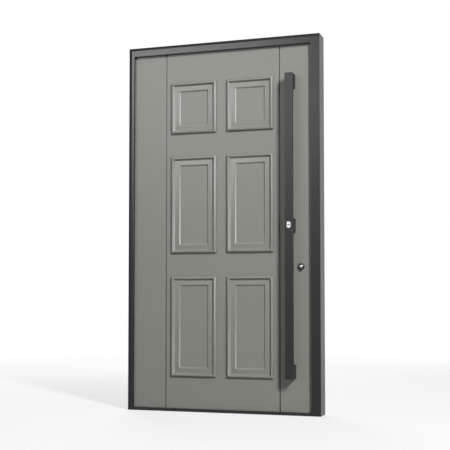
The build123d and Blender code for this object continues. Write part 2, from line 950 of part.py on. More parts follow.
def spindle():
    """Square spindle from the follower to the lever's neck."""
    half = spindle_size / 2
    return block(
        lock_x - half, lock_x + half, core_middle - case_thickness / 2 + case_wall,
        leaf_inside + lever_clearance + lever_diameter, follower_height - half, follower_height + half,
    )


def follower():
    """Round nut in the lock case that the spindle turns."""
    reach = case_thickness / 2 - case_wall - bolt_clearance
    nut = rod_y(lock_x, core_middle - reach, core_middle + reach, follower_height, follower_diameter)
    half = spindle_size / 2 + spindle_clearance
    return nut - block(
        lock_x - half, lock_x + half, core_middle - reach - overcut, core_middle + reach + overcut,
        follower_height - half, follower_height + half,
    )


def build_frame():
    """Everything that stays fixed in the wall."""
    corner = corner_screws()
    holes = fixing_holes()
    black_hinge = hinge_seal()
    black_head = head_seal()
    strips = [upright_strip(left, hinge_lip), upright_strip(lock_lip, right), head_strip()]
    lock_jamb = jamb_board(lock_side, right) - keep_openings(keep_face, keep_face + keep_pocket_depth)
    keep = keep_plate()
    keep_fixings = edge_screws(keep_face, 1, keep_screw_levels(), keep_screw_length)
    hinge_fixings = frame_plate_screws()
    head_gasket_foot = head_lip + gasket_inset
    hinge_gasket_x = hinge_lip - gasket_inset - gasket_width
    lock_gasket_x = lock_lip + gasket_inset
    yield "hinge_jamb", jamb_board(left, hinge_side) - holes - corner - hinge_fixings, "gray25"
    yield "lock_jamb", lock_jamb - holes - corner - keep_fixings, "gray25"
    yield "head", head_board() - corner, "gray30"
    yield "face_strips", Compound(children=[s - black_hinge - black_head - corner for s in strips]), "gray30"
    yield "threshold", threshold_member() - corner, "gray40"
    yield "wall_seal_hinge_side", black_hinge, "black"
    yield "wall_seal_head", black_head, "black"
    yield "stop_gasket_hinge_side", gasket_upright(hinge_gasket_x, threshold_base, head_side), "gray10"
    yield "stop_gasket_lock_side", gasket_upright(lock_gasket_x, threshold_base, head_side), "gray10"
    head_gasket = gasket_level(head_gasket_foot, hinge_gasket_x + gasket_width, lock_gasket_x)
    yield "stop_gasket_head", head_gasket, "gray10"
    yield "corner_screws", corner, "silver"
    yield "keep_plate", keep - keep_fixings, "silver"
    yield "keep_screws", keep_fixings, "silver"
    for place, foot in zip(("bottom", "middle", "top"), hinge_feet):
        yield f"hinge_frame_half_{place}", frame_hinge_half(foot), "silver"
    yield "hinge_pins", hinge_pins(), "gray60"
    yield "hinge_frame_screws", hinge_fixings, "silver"


def build_leaf():
    """Everything that swings with the leaf, apart from what turns or slides in it."""
    groove = seal_groove()
    columns = moulding_columns()
    yield "hinge_stile", hinge_stile() - groove, "burlywood"
    yield "lock_stile", lock_stile() - groove, "burlywood"
    bottom_rail_top = leaf_foot + bottom_rail_width
    top_rail_foot = leaf_top - top_rail_width
    yield "top_rail", between_stiles(top_rail_foot, leaf_top), "burlywood"
    yield "bottom_rail", between_stiles(leaf_foot, bottom_rail_top) - groove, "burlywood"
    yield "insulation_core", between_stiles(bottom_rail_top, top_rail_foot), "khaki"
    yield "outer_panel", outer_panel(), "lightgray"
    yield "inner_panel", inner_panel(), "lightgray"
    for row, (foot, height) in moulding_rows().items():
        for column, x0 in columns.items():
            yield f"moulding_{row}_{column}", moulding(x0, foot, moulding_width, height), "gray70"
    yield "bottom_seal", bottom_seal(), "gray10"
    for place, foot in zip(("bottom", "middle", "top"), hinge_feet):
        yield f"hinge_leaf_half_{place}", leaf_hinge_half(foot), "silver"
    yield "hinge_bushes", hinge_bushes(), "gold"
    yield "hinge_leaf_screws", leaf_plate_screws(), "silver"
    yield "pull_bar", bar_tube(), "gray20"
    yield "pull_bar_caps", bar_caps(), "gray20"
    bolts = standoff_bolts()
    for place, level in block_centres.items():
        yield f"standoff_{place}", standoff_block(level) - bolts, "gray20"
    yield "standoff_bolts", bolts, "silver"
    yield "reader_housing", reader_housing(), "black"
    yield "reader_bezel", reader_bezel(), "silver"
    yield "reader_sensor", reader_sensor(), "gray40"
    yield "lock_case", lock_case(), "gray60"
    yield "lock_faceplate", faceplate(), "silver"
    lock_fixings = edge_screws(leaf_right, -1, faceplate_screw_levels(), plate_screw_length)
    yield "lock_screws", lock_fixings, "silver"
    yield "cylinder_body", cylinder_body(), "gray70"
    yield "cylinder_rose_outside", outer_rose(), "gray15"
    yield "cylinder_rose_inside", inner_rose(), "gray15"
    yield "lever_rose", lever_rose(), "gray15"


def build_lock_movers():
    """What turns or slides in the leaf."""
    yield "cylinder_plug", cylinder_plug(), "gold"
    yield "thumbturn", thumbturn(), "gray15"
    yield "lever", lever(), "gray15"
    yield "lever_spindle", spindle(), "silver"
    yield "lock_follower", follower(), "gold"
    yield "latch_bolt", latch_bolt(), "gold"
    yield "dead_bolt", dead_bolt(), "gold"


os.makedirs("parts", exist_ok=True)
for group in (build_frame(), build_leaf(), build_lock_movers()):
    for node, solid, colour in group:
        name_and_store(node, solid, colour)
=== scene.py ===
import math

import bmesh
import bpy
from bpy.props import FloatProperty, FloatVectorProperty, IntProperty, PointerProperty
from mathutils import Matrix, Vector


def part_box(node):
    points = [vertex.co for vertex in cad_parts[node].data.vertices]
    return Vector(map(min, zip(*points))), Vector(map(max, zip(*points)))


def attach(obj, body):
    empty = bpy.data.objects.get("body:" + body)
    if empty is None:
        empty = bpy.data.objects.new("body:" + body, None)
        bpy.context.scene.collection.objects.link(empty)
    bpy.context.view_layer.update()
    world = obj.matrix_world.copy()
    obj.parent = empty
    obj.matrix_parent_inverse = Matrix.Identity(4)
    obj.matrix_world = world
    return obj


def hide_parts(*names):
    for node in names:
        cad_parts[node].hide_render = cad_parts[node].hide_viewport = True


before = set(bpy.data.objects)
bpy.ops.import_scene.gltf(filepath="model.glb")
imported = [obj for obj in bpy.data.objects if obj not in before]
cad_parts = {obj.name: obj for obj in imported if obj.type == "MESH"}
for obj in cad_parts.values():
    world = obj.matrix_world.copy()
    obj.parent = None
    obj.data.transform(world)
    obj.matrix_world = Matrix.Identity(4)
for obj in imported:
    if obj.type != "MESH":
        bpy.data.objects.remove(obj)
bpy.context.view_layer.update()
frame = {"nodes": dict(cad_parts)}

bl_info = {
    "name": "Panelled front door",
    "version": (1, 0, 0),
    "blender": (4, 5, 0),
    "location": "View3D > Sidebar > Door",
    "description": "Finishes, mouldings, screws and stage for a panelled front door in its frame",
    "category": "Object",
}

MM = 0.001
TAB = "Door"
WHITE = (1.0, 1.0, 1.0, 1.0)
GROOVE_HALF = 4.25 * MM  # half the width of a V-groove
GROOVE_DEPTH = 4.2 * MM
MOULDING_WIDTH = 58.0 * MM
KNUCKLE_TO_PIN = 9 / 4  # radius of a hinge knuckle to that of its pin

leaf_low, leaf_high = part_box("outer_panel")
levels = ("bottom", "middle", "top")
moulding_places = [f"{level}_{column}" for level in levels for column in ("left", "right")]


def from_hex(code):
    """Linear colour of an sRGB hex value."""
    channels = [int(code[i:i + 2], 16) / 255 for i in (0, 2, 4)]
    return [c / 12.92 if c <= 0.04045 else ((c + 0.055) / 1.055) ** 2.4 for c in channels]


def colour_prop(name, code, description):
    """A colour that a user can change, given as an sRGB hex value."""
    return FloatVectorProperty(
        name=name, description=description, subtype="COLOR", size=3, min=0.0, max=1.0,
        default=from_hex(code),
    )


def length_prop(name, millimetres, description):
    """A length that a user can change, given in millimetres."""
    return FloatProperty(
        name=name, description=description, unit="LENGTH", min=0.0, default=millimetres * MM
    )


class DoorColours(bpy.types.PropertyGroup):
    """Colours of the door's finishes"""

    leaf: colour_prop("Leaf", "878981", "Grey-green satin lacquer of the leaf and its mouldings")
    frame: colour_prop("Frame", "1E1C1C", "Dark grey-brown satin paint of the whole frame")
    threshold: colour_prop("Threshold", "1D1D20", "Dark powder coat on the aluminium threshold")
    bar: colour_prop("Pull bar", "201F20", "Graphite powder coat of the pull bar and its blocks")
    furniture: colour_prop("Furniture", "262627", "Black satin coat of roses, lever and thumbturn")
    rubber: colour_prop("Rubber", "1B1B22", "Black rubber of the wall seals and gaskets")
    steel: colour_prop("Steel", "B9BABA", "Brushed stainless steel of hinges and plates")
    zinc: colour_prop("Zinc", "A9ABAE", "Zinc-plated steel of screws and the lock case")
    chrome: colour_prop("Chrome", "E2E3E3", "Bright chrome of the reader's bezel and the key plug")
    black_nickel: colour_prop("Black nickel", "2E2E30", "Dark plating of the cylinder's body")
    brass: colour_prop("Brass", "B99A58", "Turned brass of bolts, bushes and the follower")
    sensor: colour_prop("Sensor", "85888B", "Grey glass strip of the reader")
    plastic: colour_prop("Reader housing", "161617", "Black moulded plastic of the reader's housing")
    timber: colour_prop("Timber", "C39B67", "Planed pine of stiles and rails")
    timber_ring: colour_prop("Late wood", "A97B48", "Darker rings of the pine")
    foam: colour_prop("Foam", "D9C88C", "Rigid foam core")
    floor: colour_prop("Floor", "F6F5F4", "Pale studio floor, as it is seen")
    floor_bounce: colour_prop("Floor bounce", "9E9D9B", "Tone of the floor in the light it throws back")


class DoorSizes(bpy.types.PropertyGroup):
    """Sizes of what is added to the door"""

    edge_softness: length_prop("Softened edge", 0.7, "Radius that lacquer leaves on a moulding")
    screw_recess: length_prop("Screw recess", 4.6, "Width of the cross recess in a screw head")
    screw_slot: length_prop("Recess arm", 1.0, "Width of one arm of the cross recess")
    screw_recess_depth: length_prop("Recess depth", 1.7, "Depth of the cross recess")
    cap_height: length_prop("Hinge cap", 4.5, "Height of the turned cap on each end of a hinge")
    bristle_spacing: length_prop("Bristle spacing", 3.0, "Distance between tufts of the bottom seal")
    bristle_width: length_prop("Bristle width", 0.9, "Thickness of one tuft of the bottom seal")
    bristle_rows: IntProperty(name="Bristle rows", description="Rows of tufts", min=1, default=3)
    holder_wall: length_prop("Seal holder", 1.0, "Wall of the channel that holds the bristles")
    peel: length_prop("Lacquer dimples", 7.0, "Size of the dimples of the sprayed lacquer")
    clouds: length_prop("Lacquer clouds", 420.0, "Size of the faint clouds in a sprayed coat")


def colours():
    """The colours set in the sidebar."""
    return bpy.context.scene.door_colours


def sizes():
    """The sizes set in the sidebar."""
    return bpy.context.scene.door_sizes


def per_metre(length):
    """Texture scale whose features are this long."""
    return 1.0 / length


def add(tree, kind, inputs=None, **settings):
    """Add a node with its settings.

    An input may be a value, a socket to link, or a node, which is linked by its first output.
    """
    node = tree.nodes.new(kind)
    for name, value in settings.items():
        setattr(node, name, value)
    for name, value in (inputs or {}).items():
        if isinstance(value, bpy.types.Node):
            value = value.outputs[0]
        if isinstance(value, bpy.types.NodeSocket):
            tree.links.new(value, node.inputs[name])
        else:
            node.inputs[name].default_value = value
    return node


def principled(name, inputs):
    """A new material with a Principled shader, and its node tree and shader."""
    material = bpy.data.materials.new(name)
    material.use_nodes = True
    tree = material.node_tree
    tree.nodes.clear()
    shader = add(tree, "ShaderNodeBsdfPrincipled", inputs)
    add(tree, "ShaderNodeOutputMaterial", {"Surface": shader.outputs["BSDF"]})
    return material, tree, shader


def object_space(tree, stretch=(1.0, 1.0, 1.0)):
    """Object coordinates, each axis multiplied by its stretch."""
    where = add(tree, "ShaderNodeTexCoord").outputs["Object"]
    return add(tree, "ShaderNodeMapping", {"Vector": where, "Scale": stretch}).outputs[0]


def wave_scale(spacing):
    """Scale of a wave texture whose bands are this far apart."""
    return per_metre(spacing) / math.pi


def roughen(tree, shader, pattern, roughness, spread):
    """Vary the roughness by spread, along a 0 to 1 pattern."""
    ends = {"Value": pattern, "To Min": roughness - spread, "To Max": roughness + spread}
    rough = add(tree, "ShaderNodeMapRange", ends)
    tree.links.new(rough.outputs[0], shader.inputs["Roughness"])


def from_line(tree, middle):
    """Distance of a point from a vertical line at this X, seen from the front."""
    x = add(tree, "ShaderNodeSeparateXYZ", {0: object_space(tree)}).outputs[0]
    side = add(tree, "ShaderNodeMath", {0: x, 1: middle}, operation="SUBTRACT").outputs[0]
    return add(tree, "ShaderNodeMath", {0: side}, operation="ABSOLUTE").outputs[0]


def vary(tree, shader, pattern, colour, spread, shades=()):
    """Make the colour lighter and darker by spread, along a 0 to 1 pattern, and darken it by each painted
    shade.
    """
    ends = {"Value": pattern, "To Min": 1.0 - spread, "To Max": 1.0 + spread}
    value = add(tree, "ShaderNodeMapRange", ends)
    for shade in shades:
        value = add(tree, "ShaderNodeMath", {0: value, 1: shade}, operation="MULTIPLY")
    tinted = add(tree, "ShaderNodeHueSaturation", {"Value": value, "Color": (*colour, 1.0)})
    tree.links.new(tinted.outputs[0], shader.inputs["Base Color"])


def emboss(tree, shader, pattern, height, strength=1.0):
    """Raise the surface along a pattern by a real height."""
    bump = add(tree, "ShaderNodeBump", {"Height": pattern, "Distance": height, "Strength": strength})
    tree.links.new(bump.outputs[0], shader.inputs["Normal"])


def painted_groove_shade(tree, x):
    """Painted shade in the V-groove at this X: darkest at its bottom, and none beside it."""
    away = from_line(tree, x)
    # Painted shade: the colour is dimmed to 0.3 at the groove's bottom and 0.55 at its edges
    settings = {"Value": away, "From Max": GROOVE_HALF, "To Min": 0.3, "To Max": 0.55}
    painted_shade = add(tree, "ShaderNodeMapRange", settings)
    clear = add(tree, "ShaderNodeMath", {0: away, 1: GROOVE_HALF}, operation="GREATER_THAN")
    return add(tree, "ShaderNodeMath", {0: painted_shade, 1: clear}, operation="MAXIMUM")


def sprayed_lacquer(name, colour, roughness, gloss, grooves=()):
    """Satin lacquer: an even coat with faint clouds and soft dimples, and painted shade in each groove.

    Real dimples are about 1 mm wide. They are drawn several times coarser, so that the sheen shows
    them. Grooves are given by their X.
    """
    material, tree, shader = principled(name, {"Specular IOR Level": gloss})
    place = object_space(tree)
    clouds = add(tree, "ShaderNodeTexNoise", {"Vector": place, "Scale": per_metre(sizes().clouds)})
    dimples = {"Vector": place, "Scale": per_metre(sizes().peel), "Detail": 1.0}
    peel = add(tree, "ShaderNodeTexNoise", dimples)
    # Each groove gets painted shade, which darkens its colour towards its bottom
    vary(tree, shader, clouds, colour, 0.03, [painted_groove_shade(tree, x) for x in grooves])
    roughen(tree, shader, clouds, roughness, 0.04)
    emboss(tree, shader, peel, 0.06 * MM, 0.35)
    return material


def powder_coat(name, colour, roughness, gloss):
    """Baked powder coat: an even pebble that breaks up the sheen.

    Real pebbles are under 1 mm wide. They are drawn coarser, so that they show.
    """
    material, tree, shader = principled(name, {"Specular IOR Level": gloss})
    place = object_space(tree)
    pebble = add(tree, "ShaderNodeTexNoise", {"Vector": place, "Scale": per_metre(1.6 * MM), "Detail": 3.0})
    vary(tree, shader, pebble, colour, 0.06)
    roughen(tree, shader, pebble, roughness, 0.06)
    emboss(tree, shader, pebble, 0.05 * MM, 0.5)
    return material


def brushed_metal(name, colour, roughness, grain_along):
    """Brushed metal: fine parallel scratches along one axis, which stretch the highlights.

    Real scratches are about 0.1 mm wide. They are drawn coarser, so that they show.
    """
    material, tree, shader = principled(name, {"Metallic": 1.0})
    stretch = [0.02 if axis == grain_along else 1.0 for axis in "XYZ"]
    place = object_space(tree, stretch)
    grain = add(tree, "ShaderNodeTexNoise", {"Vector": place, "Scale": per_metre(0.5 * MM), "Detail": 4.0})
    vary(tree, shader, grain, colour, 0.08)
    roughen(tree, shader, grain, roughness, 0.08)
    emboss(tree, shader, grain, 0.02 * MM, 0.4)
    return material


def plated_metal(name, colour, roughness):
    """Zinc, nickel or chrome plating: a smooth skin with slightly dull spots."""
    material, tree, shader = principled(name, {"Metallic": 1.0})
    spots = add(tree, "ShaderNodeTexNoise", {"Vector": object_space(tree), "Scale": per_metre(3.0 * MM)})
    vary(tree, shader, spots, colour, 0.04)
    roughen(tree, shader, spots, roughness, 0.04)
    return material


def extruded_rubber(name, colour):
    """Black extruded rubber: matt, with a fine uneven skin and a dusty bloom."""
    material, tree, shader = principled(name, {"Specular IOR Level": 0.2})
    place = object_space(tree)
    bloom = add(tree, "ShaderNodeTexNoise", {"Vector": place, "Scale": per_metre(35.0 * MM), "Detail": 3.0})
    skin = add(tree, "ShaderNodeTexNoise", {"Vector": place, "Scale": per_metre(0.8 * MM)})
    vary(tree, shader, bloom, colour, 0.18)
    roughen(tree, shader, bloom, 0.8, 0.08)
    emboss(tree, shader, skin, 0.04 * MM, 0.4)
    return material


def moulded_plastic(name, colour, roughness):
    """Black moulded plastic with the fine grain of a spark-eroded mould."""
    material, tree, shader = principled(name, {"Specular IOR Level": 0.4})
    spark = add(tree, "ShaderNodeTexNoise", {"Vector": object_space(tree), "Scale": per_metre(0.6 * MM)})
    vary(tree, shader, spark, colour, 0.1)
    roughen(tree, shader, spark, roughness, 0.05)
    emboss(tree, shader, spark, 0.03 * MM, 0.4)
    return material


def coated_glass(name, colour):
    """Glass strip over a grey sensor: a deep smooth gloss over fine vertical lines."""
    gloss = {"Roughness": 0.25, "Coat Weight": 1.0, "Coat Roughness": 0.04}
    material, tree, shader = principled(name, gloss)
    settings = {"Vector": object_space(tree), "Scale": wave_scale(1.2 * MM)}
    lines = add(tree, "ShaderNodeTexWave", settings, bands_direction="X")
    vary(tree, shader, lines.outputs[1], colour, 0.06)
    return material


def ring_pattern(tree, place):
    """Growth rings of sawn pine, as long flames along the board.

    Real rings are a few millimetres apart. They are drawn far wider, so that they show.
    """
    settings = {"Vector": place, "Scale": wave_scale(76.4 * MM), "Distortion": 3.5, "Detail": 2.0}
    rings = add(tree, "ShaderNodeTexWave", settings, wave_type="RINGS").outputs[1]
    wander = add(tree, "ShaderNodeTexNoise", {"Vector": place, "Scale": per_metre(1.0)})
    return add(tree, "ShaderNodeMath", {0: rings, 1: wander}, operation="MULTIPLY")


def planed_timber(name, grain_along, painted_beyond=None):
    """Planed pine with soft growth rings along the grain.

    Where painted_beyond is given as (middle, half width), what lies further from the middle along X has
    the leaf's lacquer, because the edges of the leaf are sprayed with its faces.
    """
    material, tree, shader = principled(name, {"Specular IOR Level": 0.35})
    stretch = [0.06 if axis == grain_along else 1.0 for axis in "XYZ"]
    rings = ring_pattern(tree, object_space(tree, stretch))
    early_and_late = {0: rings, 6: (*colours().timber, 1.0), 7: (*colours().timber_ring, 1.0)}
    wood = add(tree, "ShaderNodeMix", early_and_late, data_type="RGBA").outputs[2]
    if painted_beyond:
        middle, half = painted_beyond
        outside = {0: from_line(tree, middle), 1: half}
        painted = add(tree, "ShaderNodeMath", outside, operation="GREATER_THAN")
        bare_and_painted = {0: painted, 6: wood, 7: (*colours().leaf, 1.0)}
        wood = add(tree, "ShaderNodeMix", bare_and_painted, data_type="RGBA").outputs[2]
    tree.links.new(wood, shader.inputs["Base Color"])
    roughen(tree, shader, rings, 0.55, -0.05)
    emboss(tree, shader, rings, 0.05 * MM, 0.3)
    return material


def rigid_foam(name, colour):
    """Cut rigid foam: pale, matt and open-celled."""
    material, tree, shader = principled(name, {"Roughness": 0.95, "Specular IOR Level": 0.1})
    settings = {"Vector": object_space(tree), "Scale": per_metre(2.5 * MM)}
    cells = add(tree, "ShaderNodeTexVoronoi", settings)
    vary(tree, shader, cells, colour, 0.12)
    emboss(tree, shader, cells, 0.3 * MM, 0.6)
    return material


def dress(material, *nodes):
    """Give CAD nodes a material."""
    for node in nodes:
        slots = frame["nodes"][node].material_slots
        if slots:
            slots[0].material = material
        else:
            frame["nodes"][node].data.materials.append(material)


def new_object(name, mesh):
    """Link a mesh to the scene as an object at the origin."""
    piece = bpy.data.objects.new(name, mesh)
    bpy.context.scene.collection.objects.link(piece)
    return piece


def finished_mesh(name, shape):
    """Turn an edited shape into a mesh whose faces look outwards."""
    bmesh.ops.recalc_face_normals(shape, faces=shape.faces)
    mesh = bpy.data.meshes.new(name)
    shape.to_mesh(mesh)
    shape.free()
    return mesh


def freeze(piece):
    """Turn an object with live modifiers into a plain mesh."""
    graph = bpy.context.evaluated_depsgraph_get()
    solid = piece.evaluated_get(graph)
    mesh = bpy.data.meshes.new_from_object(solid, preserve_all_data_layers=True, depsgraph=graph)
    piece.modifiers.clear()
    piece.data = mesh
    return piece


def settle(piece, body, slot, *nodes):
    """Put a piece on the body it rides on and hide the CAD nodes it stands for. The slot is not used."""
    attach(piece, body)
    if nodes:
        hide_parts(*nodes)


def groove_bottoms():
    """X of the bottom of each V-groove in the outer panel."""
    floor = leaf_low.y + GROOVE_DEPTH
    corners = frame["nodes"]["outer_panel"].data.vertices
    return sorted({round(corner.co.x, 4) for corner in corners if abs(corner.co.y - floor) < 0.05 * MM})


def smooth(mesh, degrees=32.0):
    """Smooth shading, with edges sharper than the angle kept crisp."""
    mesh.shade_smooth()
    mesh.set_sharp_from_angle(angle=math.radians(degrees))


# Mouldings


def curve(start, end, start_tangent, end_tangent, steps=10):
    """Points after start along a cubic between two points with given tangents."""
    points = []
    for i in range(1, steps + 1):
        t = i / steps
        weights = (2 * t**3 - 3 * t**2 + 1, t**3 - 2 * t**2 + t, -2 * t**3 + 3 * t**2, t**3 - t**2)
        sources = (start, start_tangent, end, end_tangent)
        points.append(tuple(sum(w * p[axis] for w, p in zip(weights, sources)) for axis in (0, 1)))
    return points


def moulding_profile(width, height):
    """Section of a member: distance inwards from its outer edge, and height above the leaf.

    A round bead, a quirk, a hollow that rises to a nose, and a fall to the field. The outer edge stands
    on a narrow undercut, where the real one has the dark line of a scraped glue joint.
    """
    edge = (0.0, 6.0 * MM)
    undercut = 1.2 * MM
    crown = (11.0 * MM, height)
    quirk = (22.0 * MM, 4.0 * MM)
    nose = (width - 9.0 * MM, 7.5 * MM)
    foot = (width, 1.0 * MM)
    points = [(undercut, 0.0), (undercut, 1.8 * MM), (0.0, 3.0 * MM), edge]
    points += curve(edge, crown, (0.0, 18.0 * MM), (16.0 * MM, 0.0))
    points += curve(crown, quirk, (14.0 * MM, 0.0), (14.0 * MM, 0.0))
    points += curve(quirk, nose, (20.0 * MM, 0.0), (20.0 * MM, 0.0))
    points += curve(nose, foot, (12.0 * MM, 0.0), (12.0 * MM, 0.0))
    return points + [(width, 0.0)]


def mitred_moulding(name, node):
    """Four mitred members round a field, in the place of a CAD moulding, with softened edges."""
    low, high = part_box(node)
    profile = moulding_profile(MOULDING_WIDTH, high.y - low.y)
    shape = bmesh.new()
    rings = []
    for inwards, rise in profile:
        y = high.y - rise
        x0, x1 = low.x + inwards, high.x - inwards
        z0, z1 = low.z + inwards, high.z - inwards
        rings.append([shape.verts.new(p) for p in ((x0, y, z0), (x0, y, z1), (x1, y, z1), (x1, y, z0))])
    for i, ring in enumerate(rings):
        following = rings[(i + 1) % len(rings)]
        for j in range(4):
            k = (j + 1) % 4
            shape.faces.new((ring[j], ring[k], following[k], following[j]))
    piece = new_object(name, finished_mesh(name, shape))
    bevel = piece.modifiers.new("Softened edges", "BEVEL")
    bevel.width = sizes().edge_softness
    bevel.segments = 2
    bevel.limit_method = "ANGLE"
    bevel.angle_limit = math.radians(38.0)
    freeze(piece)
    smooth(piece.data)
    return piece


# Turned and extruded parts


def lathe(outline, centre, segments=40):
    """Turn an outline of (radius, height), which starts and ends on the axis, round a vertical axis."""
    shape = bmesh.new()
    rings = []
    for radius, height in outline:
        if radius == 0:
            rings.append([shape.verts.new(centre + Vector((0, 0, height)))])
            continue
        ring = []
        for i in range(segments):
            angle = 2 * math.pi * i / segments
            point = Vector((radius * math.cos(angle), radius * math.sin(angle), height))
            ring.append(shape.verts.new(centre + point))
        rings.append(ring)
    for lower, upper in zip(rings, rings[1:]):
        for i in range(segments):
            k = (i + 1) % segments
            corners = [lower[i % len(lower)], lower[k % len(lower)]]
            corners += [upper[k % len(upper)], upper[i % len(upper)]]
            shape.faces.new(list(dict.fromkeys(corners)))
    return shape


def hinge_cap(name, node, way):
    """Turned cap on one end of a hinge knuckle. way is 1 for the top and -1 for the bottom."""
    low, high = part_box(node)
    pin_low, pin_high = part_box("hinge_pins")
    radius = (pin_high.x - pin_low.x) / 2
    knuckle = radius * KNUCKLE_TO_PIN
    axis = (pin_low + pin_high) / 2
    axis.z = high.z if way > 0 else low.z
    rise = sizes().cap_height * way
    outline = [
        (0.0, 0.0), (knuckle, 0.0), (knuckle, rise * 0.25), (knuckle * 0.86, rise * 0.42),
        (knuckle * 0.8, rise * 0.55), (knuckle * 0.74, rise * 0.75), (knuckle * 0.5, rise * 0.94),
        (0.0, rise),
    ]
    mesh = finished_mesh(name, lathe(outline, axis))
    smooth(mesh)
    return new_object(name, mesh)


def extruded(name, section, x0, x1):
    """A closed section of (y, z) points run along X."""
    shape = bmesh.new()
    ends = [[shape.verts.new((x, y, z)) for y, z in section] for x in (x0, x1)]
    count = len(section)
    for i in range(count):
        k = (i + 1) % count
        shape.faces.new((ends[0][i], ends[0][k], ends[1][k], ends[1][i]))
    for end in ends:
        shape.faces.new(end)
    return new_object(name, finished_mesh(name, shape))


# Geometry Nodes


def new_group(name, inputs):
    """A geometry node group with named inputs, given as (name, socket kind, default)."""
    group = bpy.data.node_groups.new(name, "GeometryNodeTree")
    group.interface.new_socket("Geometry", in_out="INPUT", socket_type="NodeSocketGeometry")
    for label, kind, default in inputs:
        socket = group.interface.new_socket(label, in_out="INPUT", socket_type=kind)
        if default is not None:
            socket.default_value = default
    group.interface.new_socket("Geometry", in_out="OUTPUT", socket_type="NodeSocketGeometry")
    return group, add(group, "NodeGroupInput")


def end_group(group, instances, material):
    """Realise the instances, set the material and join the group's output."""
    real = add(group, "GeometryNodeRealizeInstances", {"Geometry": instances})
    painted = add(group, "GeometryNodeSetMaterial", {"Geometry": real.outputs[0], "Material": material})
    add(group, "NodeGroupOutput", {"Geometry": painted.outputs[0]})


def shift_z(group, geometry, distance):
    """Move geometry along Z by a socket's value."""
    offset = add(group, "ShaderNodeCombineXYZ", {"Z": distance}).outputs[0]
    return add(group, "GeometryNodeTransform", {"Geometry": geometry, "Translation": offset}).outputs[0]


def screw_tree():
    """Countersunk screws with a cross recess, one on each point, their heads along +Z before Turn."""
    group, given = new_group("Countersunk screws", [
        ("Head diameter", "NodeSocketFloat", 8.6 * MM),
        ("Head height", "NodeSocketFloat", 2.4 * MM),
        ("Shank diameter", "NodeSocketFloat", 4.5 * MM),
        ("Length", "NodeSocketFloat", 40.0 * MM),
        ("Recess width", "NodeSocketFloat", 4.6 * MM),
        ("Recess arm", "NodeSocketFloat", 1.0 * MM),
        ("Recess depth", "NodeSocketFloat", 1.7 * MM),
        ("Turn", "NodeSocketVector", None),
        ("Material", "NodeSocketMaterial", None),
    ])
    get = given.outputs
    head_radius, neck_radius, shank_radius, head_drop, arm_height = (
        add(group, "ShaderNodeMath", {0: get[size], 1: factor}, operation="MULTIPLY")
        for size, factor in (
            ("Head diameter", 0.5), ("Shank diameter", 0.5), ("Shank diameter", 0.48),
            ("Head height", -1.0), ("Recess depth", 2.0),
        )
    )
    head = add(group, "GeometryNodeMeshCone", {
        "Vertices": 28, "Radius Top": head_radius, "Radius Bottom": neck_radius,
        "Depth": get["Head height"],
    })
    head_place = shift_z(group, head, head_drop)
    ends = {0: get["Length"], 1: get["Head height"]}
    shank_length = add(group, "ShaderNodeMath", ends, operation="SUBTRACT")
    shank = add(group, "GeometryNodeMeshCylinder", {
        "Vertices": 20, "Radius": shank_radius, "Depth": shank_length,
    })
    both_ends = add(group, "ShaderNodeMath", ends, operation="ADD")
    shank_drop = add(group, "ShaderNodeMath", {0: both_ends, 1: -0.5}, operation="MULTIPLY")
    shank_place = shift_z(group, shank, shank_drop)
    arms = []
    for across, along in (("Recess width", "Recess arm"), ("Recess arm", "Recess width")):
        size = add(group, "ShaderNodeCombineXYZ", {"X": get[across], "Y": get[along], "Z": arm_height})
        arms.append(add(group, "GeometryNodeMeshCube", {"Size": size}))
    cut = head_place
    for arm in arms:
        meshes = {"Mesh 1": cut, "Mesh 2": arm}
        cut = add(group, "GeometryNodeMeshBoolean", meshes, operation="DIFFERENCE").outputs[0]
    screw = add(group, "GeometryNodeJoinGeometry")
    group.links.new(cut, screw.inputs[0])
    group.links.new(shank_place, screw.inputs[0])
    placed = add(group, "GeometryNodeInstanceOnPoints", {
        "Points": get["Geometry"], "Instance": screw.outputs[0], "Rotation": get["Turn"],
    })
    end_group(group, placed.outputs[0], get["Material"])
    return group


def bristle_tree():
    """Tufts along a line, each leaning a little its own way."""
    group, given = new_group("Bristles", [
        ("Spacing", "NodeSocketFloat", 3.0 * MM),
        ("Width", "NodeSocketFloat", 0.9 * MM),
        ("Height", "NodeSocketFloat", 10.0 * MM),
        ("Lean", "NodeSocketFloat", 0.10),
        ("Seed", "NodeSocketInt", 7),
        ("Material", "NodeSocketMaterial", None),
    ])
    get = given.outputs
    line = add(group, "GeometryNodeMeshToCurve", {"Mesh": get["Geometry"]}).outputs[0]
    steps = {"Curve": line, "Length": get["Spacing"]}
    points = add(group, "GeometryNodeCurveToPoints", steps, mode="LENGTH")
    top_radius, foot_radius, lean_back = (
        add(group, "ShaderNodeMath", {0: get[size], 1: factor}, operation="MULTIPLY")
        for size, factor in (("Width", 0.5), ("Width", 0.35), ("Lean", -1.0))
    )
    tuft = add(group, "GeometryNodeMeshCone", {
        "Vertices": 5, "Radius Top": top_radius, "Radius Bottom": foot_radius, "Depth": get["Height"],
    })
    lean = add(group, "FunctionNodeRandomValue", {"Seed": get["Seed"]}, data_type="FLOAT_VECTOR")
    for socket, most in enumerate((lean_back, get["Lean"])):
        angles = add(group, "ShaderNodeCombineXYZ", {"X": most, "Y": most}).outputs[0]
        group.links.new(angles, lean.inputs[socket])
    placed = add(group, "GeometryNodeInstanceOnPoints", {
        "Points": points.outputs[0], "Instance": tuft.outputs["Mesh"], "Rotation": lean.outputs[0],
    })
    end_group(group, placed.outputs[0], get["Material"])
    return group


def grow(name, mesh, group, values):
    """Run a node group on a mesh with its named inputs and keep the result as a plain mesh."""
    piece = new_object(name, mesh)
    modifier = piece.modifiers.new(group.name, "NODES")
    modifier.node_group = group
    identifiers = {
        item.name: item.identifier for item in group.interface.items_tree
        if item.item_type == "SOCKET" and item.in_out == "INPUT"
    }
    for label, value in values.items():
        modifier[identifiers[label]] = value
    return freeze(piece)


